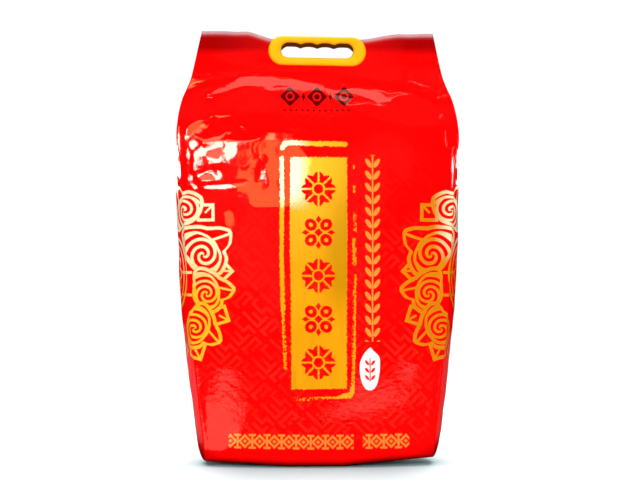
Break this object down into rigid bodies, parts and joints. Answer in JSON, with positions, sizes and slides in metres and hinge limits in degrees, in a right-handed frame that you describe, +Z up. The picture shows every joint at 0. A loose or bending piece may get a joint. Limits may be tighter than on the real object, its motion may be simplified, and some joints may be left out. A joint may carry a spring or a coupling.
{
  "type": "rice sack",
  "caption": "Filled side-gusset film bag of rice standing on its base, with a flat sealed header and a plastic carry handle clamped through it.",
  "frame": {"origin": "middle of the base: the bounding box is centred on it in X and Y, and Z = 0 is the floor", "axes": "+Z up the standing bag, -Y out of the printed front face, +X to the right seen from the front"},
  "size_m": [0.2712, 0.086, 0.412],
  "materials": {
    "film": "gloss",
    "handle": "satin"
  },
  "bodies": {
    "root": {"sack": "film", "handle_front": "handle", "handle_back": "handle"}
  },
  "joints": []
}
